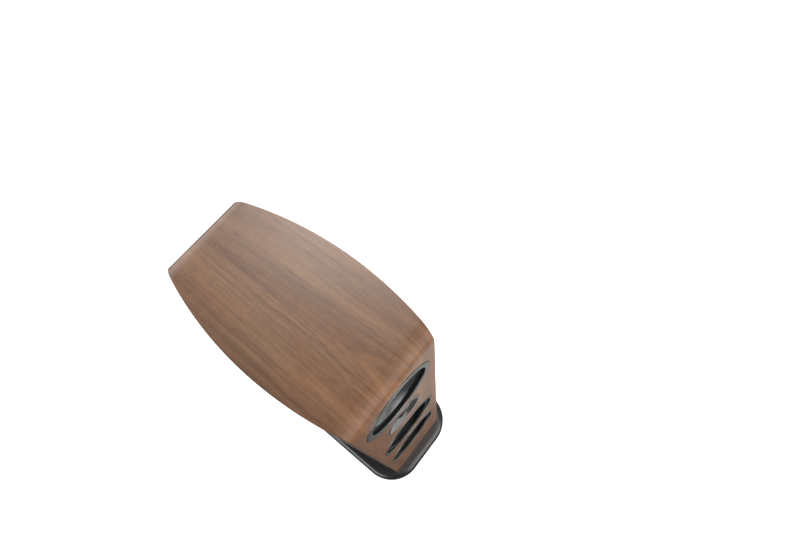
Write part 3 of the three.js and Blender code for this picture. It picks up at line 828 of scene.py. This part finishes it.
def build_tweeter(finishes):
    at = (0, FRONT, TWEETER["z"])
    rim, dome_edge = TWEETER["outer"], TWEETER["dome"]
    throat = dome_edge + 3.6
    plate = [(throat, -9), (rim - 8, -9), (rim - 8, -4.7), (rim - RING_GAP, -4.7),
             (rim - RING_GAP, 0.5, 0.3), (rim - 1.6, 1.1, 0.4), (rim - 4, 0.6, 1.5),
             (throat + 11, -5.6, 9), (throat + 0.4, -7.6, 0.3), (throat, -7.8)]
    new_piece("dished_tweeter_plate", turned("plate", plate, at, OUT_OF_FRONT, 128), "cabinet",
              finishes["polished"], ["tweeter_faceplate"])
    dome = dome_line(dome_edge, -6) + dome_line(dome_edge - 0.3, -6.8)[::-1]
    new_piece("domed_tweeter_diaphragm", turned("dome", dome, at, OUT_OF_FRONT, 96),
              "tweeter_moving_assembly", finishes["dome"], ["tweeter_dome"])
    inner, outer = dome_edge + CLEARANCE, dome_edge + 3.3
    middle = (inner + outer) / 2
    ring = [(inner, -6.2), (middle, -5, 0.8), (outer, -6.2), (outer, -7), (middle, -5.8, 0.6), (inner, -7)]
    roll = new_piece("rolled_tweeter_surround", turned("surround", ring, at, OUT_OF_FRONT, 96), None,
                     finishes["rubber"], ["tweeter_surround"])
    flex(roll, TWEETER, outer, inner)


def build_drivers():
    finishes = {
        "trim": spun("silver_trim", (0.40, 0.405, 0.39), (0.50, 0.505, 0.49), (0.34, 0.42), 1500,
                     bump=0.015, Metallic=1.0),
        "rubber": grained("surround_rubber", (0.002, 0.002, 0.002), (0.005, 0.005, 0.005), (0.24, 0.32),
                          1200, bump=0.05, Specular_IOR_Level=0.2),
        "polished": spun("polished_plate", (0.42, 0.425, 0.42), (0.52, 0.525, 0.52), (0.16, 0.22), 1500,
                         bump=0.008, Metallic=1.0),
        "dome": spun("dome_metal", (0.10, 0.11, 0.105), (0.15, 0.16, 0.155), (0.26, 0.32), 900,
                     Metallic=1.0),
    }
    grey = spun("anodised_grey", (0.33, 0.35, 0.355), (0.38, 0.40, 0.405), (0.26, 0.30), 80, bump=0,
                Metallic=1.0)
    black = spun("black_cone", (0.003, 0.003, 0.0035), (0.007, 0.007, 0.008), (0.34, 0.44), 1400,
                 Specular_IOR_Level=0.2)
    build_cone_driver(MIDRANGE, finishes, grey)
    build_cone_driver(UPPER_WOOFER, finishes, black)
    build_cone_driver(LOWER_WOOFER, finishes, black)
    build_tweeter(finishes)


# ---------------------------------------------------------------- binding posts

# These are in millimetres.
POST_PITCH = 1.0
POST_RADIUS = 3.1
POST_THREAD_START = 4
POST_THREAD_END = 19
FLUTED_RADIUS = 7  # nothing nearer to the axis has ridges

FLUTES = 28


def fluting(start, end, depth):
    """Relief of straight grip ridges on the outside, between two heights."""
    def relief(angle, radius, height):
        if radius < FLUTED_RADIUS or not start <= height <= end:
            return 0
        return -depth * (0.5 - 0.5 * math.cos(FLUTES * angle))
    return relief


def build_terminals():
    black = grained("moulded_black", (0.010, 0.010, 0.011), (0.020, 0.020, 0.021), (0.38, 0.52), 1500)
    red = grained("moulded_red", (0.30, 0.028, 0.016), (0.40, 0.045, 0.024), (0.34, 0.46), 1500)
    gold = spun("gold_plate", (0.72, 0.46, 0.14), (0.92, 0.64, 0.25), (0.18, 0.28), 2600, Metallic=1.0)
    copper = spun("copper_plate", (0.62, 0.27, 0.13), (0.84, 0.42, 0.22), (0.20, 0.30), 2600, Metallic=1.0)
    finishes = (("positive", copper, "post_copper", red, "ring_red"),
                ("negative", gold, "post_gold", black, "ring_black"))
    for sign, metal, metal_slot, plastic, ring_slot in finishes:
        middle = centre(f"{sign}_post")
        at = Vector((middle.x, REAR, middle.z))

        def place(suffix, outline, body, slot, finish, segments=72, relief=None):
            mesh = turned(suffix, outline, at, OUT_OF_REAR, segments, relief)
            new_piece(f"turned_{sign}_{suffix}", mesh, body, finish, [f"{sign}_{suffix}"])

        collar = [(3.4, -14), (5.2, -14), (5.2, 0.3), (11, 0.3), (11, 4, 1), (3.4, 4, 0.4)]
        place("collar", collar, "cabinet", "collar_black", black)
        threaded = threaded_stretch(POST_RADIUS, POST_THREAD_START, POST_THREAD_END, POST_PITCH)
        shaft = [(0, -32), (POST_RADIUS, -32), (POST_RADIUS, -26.3), (8, -26.3, 0.4), (8, -20.3, 0.4),
                 (POST_RADIUS, -20.3), *threaded, (POST_RADIUS - 0.5, 20), (0, 20)]
        ridges = thread(POST_THREAD_START + THREAD_RUN_OUT, POST_THREAD_END - THREAD_RUN_OUT, POST_PITCH,
                        0.35)
        place("post", shaft, "cabinet", "post_gold", gold, 32, ridges)
        place("washer", [(3.6, 4.3, 0.3), (7.4, 4.3, 0.5), (7.4, 6.3, 0.5), (3.6, 6.3, 0.3)],
              f"{sign}_clamp_washer", "post_gold", gold)
        knob = [(3.6, 6.6), (7.8, 6.6, 0.5), (7.8, 9.4, 0.4), (6.4, 10.2, 0.3), (6.4, 12.4, 0.3),
                (7.8, 13.2, 0.4), (7.8, 13.8), (7.8, 17.0), (7.8, 17.7, 0.3), (5.6, 17.7),
                (5.6, 20.6, 0.4), (3.6, 20.6, 0.3)]
        place("knob", knob, f"{sign}_clamp_knob", metal_slot, metal, 224, fluting(13.7, 17.1, 0.3))
        place("ring", [(5.9, 18, 0.3), (7.8, 18, 0.4), (7.8, 20.6, 0.8), (5.9, 20.6, 0.3)],
              f"{sign}_clamp_knob", ring_slot, plastic)


# ---------------------------------------------------------------- inside the cabinet


def paint_inside():
    board = grained("fibreboard", (0.30, 0.20, 0.115), (0.42, 0.30, 0.18), (0.75, 0.88), 500, bump=0.5)
    cast = grained("cast_basket", (0.030, 0.031, 0.033), (0.060, 0.061, 0.064), (0.48, 0.62), 600,
                   Metallic=0.9)
    ferrite = grained("ferrite", (0.030, 0.031, 0.034), (0.055, 0.056, 0.060), (0.60, 0.75), 800)
    cloth = woven("spider_cloth", (0.34, 0.22, 0.08), (0.52, 0.36, 0.15), 1200)
    coil = grained("coil_copper", (0.42, 0.16, 0.06), (0.62, 0.28, 0.12), (0.30, 0.42), 900, Metallic=1.0)
    sleeve_black = grained("capacitor_black", (0.012, 0.012, 0.014), (0.022, 0.022, 0.025), (0.35, 0.48),
                           700)
    sleeve_red = grained("capacitor_red", (0.32, 0.05, 0.03), (0.42, 0.075, 0.045), (0.35, 0.48), 700)
    wire = grained("wire_black", (0.012, 0.012, 0.012), (0.024, 0.024, 0.024), (0.42, 0.55), 1100)
    wire_red = grained("wire_red", (0.34, 0.035, 0.022), (0.44, 0.055, 0.034), (0.42, 0.55), 1100)
    finishes = {
        "bottom_panel": board, "chamber_shelf": board, "window_brace": board,
        "crossover_board": circuit_board(), "woofer_inductor": coil, "midrange_inductor": coil,
        "woofer_capacitor": sleeve_black, "tweeter_capacitor": sleeve_red,
        "wiring_harness": wire, "input_lead": wire_red,
        "tweeter_voice_coil": coil, "tweeter_magnet": ferrite,
    }
    for driver in ("midrange", "upper_woofer", "lower_woofer"):
        finishes.update({f"{driver}_basket": cast, f"{driver}_magnet": ferrite, f"{driver}_spider": cloth,
                         f"{driver}_voice_coil": coil})
    for node, finish in finishes.items():
        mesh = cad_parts[node].data
        mesh.materials.clear()
        mesh.materials.append(finish)


# ---------------------------------------------------------------- studio


def area_light(name, at, target, size, power, colour, mirrored=True):
    """A soft lamp. One that is not mirrored lights surfaces but is not seen in their gloss."""
    data = bpy.data.lights.new(name, "AREA")
    data.shape = "RECTANGLE"
    data.size, data.size_y = size
    data.energy = power
    data.color = colour
    lamp = bpy.data.objects.new(name, data)
    bpy.context.scene.collection.objects.link(lamp)
    lamp.location = at
    lamp.visible_camera = False
    lamp.visible_glossy = mirrored
    lamp.rotation_euler = (Vector(target) - Vector(at)).to_track_quat("-Z", "Y").to_euler()


FLAT_FLOOR = 5.0  # radius, in metres
FLOOR_BEND = 4.0  # radius of the bend between floor and wall
WALL_TOP = 9.0


def build_floor():
    """A white floor that bends up into a wall all round. Only the camera sees it."""
    sweep = [(FLAT_FLOOR + FLOOR_BEND * math.sin(a), FLOOR_BEND - FLOOR_BEND * math.cos(a))
             for a in steps_between(0, math.pi / 2, 24)]
    sweep.append((FLAT_FLOOR + FLOOR_BEND, WALL_TOP))
    around = steps_between(0, 2 * math.pi, 96)[:-1]
    rows = [[(r * math.cos(a), r * math.sin(a), z) for a in around] for r, z in sweep]
    bm = bmesh.new()
    grid = skin(bm, rows, closed=True)
    bm.faces.new(grid[0])
    mesh = to_mesh("floor", bm)
    mesh.shade_smooth()
    g = Graph("studio_white", Specular_IOR_Level=0.0, Emission_Color=(1, 1, 1, 1), Emission_Strength=0.95)
    paper = g.ramp(g.noise(g.place(), 3, 2), (0.3, (0.80, 0.80, 0.80)), (0.7, (0.84, 0.84, 0.84)))
    mesh.materials.append(g.finish(paper, 0.9))
    floor = bpy.data.objects.new("floor", mesh)
    bpy.context.scene.collection.objects.link(floor)
    floor.visible_diffuse = floor.visible_glossy = floor.visible_shadow = False


def build_light():
    world = bpy.data.worlds.new("studio")
    bpy.context.scene.world = world
    world.use_nodes = True
    background = world.node_tree.nodes["Background"]
    background.inputs["Color"].default_value = (0.94, 0.96, 1.0, 1)
    background.inputs["Strength"].default_value = 0.10

    middle = (0, 0, 0.6 * TOP)
    area_light("overhead", (1.15, 1.05, 3.1), (0, 0, TOP), (1.5, 1.1), 38, (1, 0.99, 0.96))
    area_light("above_front", (0.3, -1.0, 3.2), (0, FRONT, TOP), (1.6, 1.5), 6, (1, 0.97, 0.93))
    area_light("front", (0.5, -2.5, 1.5), middle, (2.4, 2.8), 27, (1, 0.95, 0.90))
    area_light("right_front", (2.1, -2.1, 1.2), middle, (1.6, 2.0), 76, (1, 0.92, 0.85), mirrored=False)
    area_light("low_front", (1.3, -2.0, 0.5), (0, FRONT, 0.5 * TOP), (1.2, 0.8), 10, (1, 0.93, 0.87),
               mirrored=False)
    area_light("rear", (0.0, 3.2, 1.9), middle, (4.0, 3.8), 76, (1, 0.99, 0.97))
    area_light("left", (-2.3, 0.2, 0.9), middle, (2.4, 1.6), 18, (0.97, 0.98, 1.0))
    area_light("right", (2.5, 0.3, 0.9), middle, (2.4, 1.6), 10, (1, 0.99, 0.97))
    # These two stand in for the light that a pale floor throws back up.
    area_light("floor_front", (0.75, -1.0, 0.004), (0.75, -1.0, 1), (1.5, 1.4), 2.6, (1, 0.98, 0.95))
    area_light("floor_left", (-1.15, 0.5, 0.004), (-1.15, 0.5, 1), (1.5, 1.2), 3.4, (1, 0.98, 0.95))


# The camera is above and just ahead of the cabinet, a little to its left, and looks down across it.
CAMERA_LEFT = 71.7 * MM
CAMERA_AHEAD = 132 * MM
CAMERA_ABOVE = 750 * MM
CAMERA_TURN = (22.936, 3.757, -51.242)  # degrees
CAMERA_LENS = 24.487  # for a sensor 36 mm wide


def build_camera():
    data = bpy.data.cameras.new("camera")
    data.lens, data.sensor_width = CAMERA_LENS, 36
    camera = bpy.data.objects.new("camera", data)
    bpy.context.scene.collection.objects.link(camera)
    camera.location = (-CAMERA_LEFT, FRONT - CAMERA_AHEAD, TOP + CAMERA_ABOVE)
    camera.rotation_euler = [math.radians(a) for a in CAMERA_TURN]
    bpy.context.scene.camera = camera


# ---------------------------------------------------------------- assembly

TERMINALS = [centre("positive_post"), centre("negative_post")]

build_camera()
build_floor()
build_light()
build_cabinet([MIDRANGE, TWEETER, UPPER_WOOFER, LOWER_WOOFER], TERMINALS[0].z, [t.x for t in TERMINALS])
build_plinth()
build_feet()
build_drivers()
build_terminals()
paint_inside()

scene = bpy.context.scene
scene.view_settings.view_transform = "Standard"
scene.view_settings.look = "None"
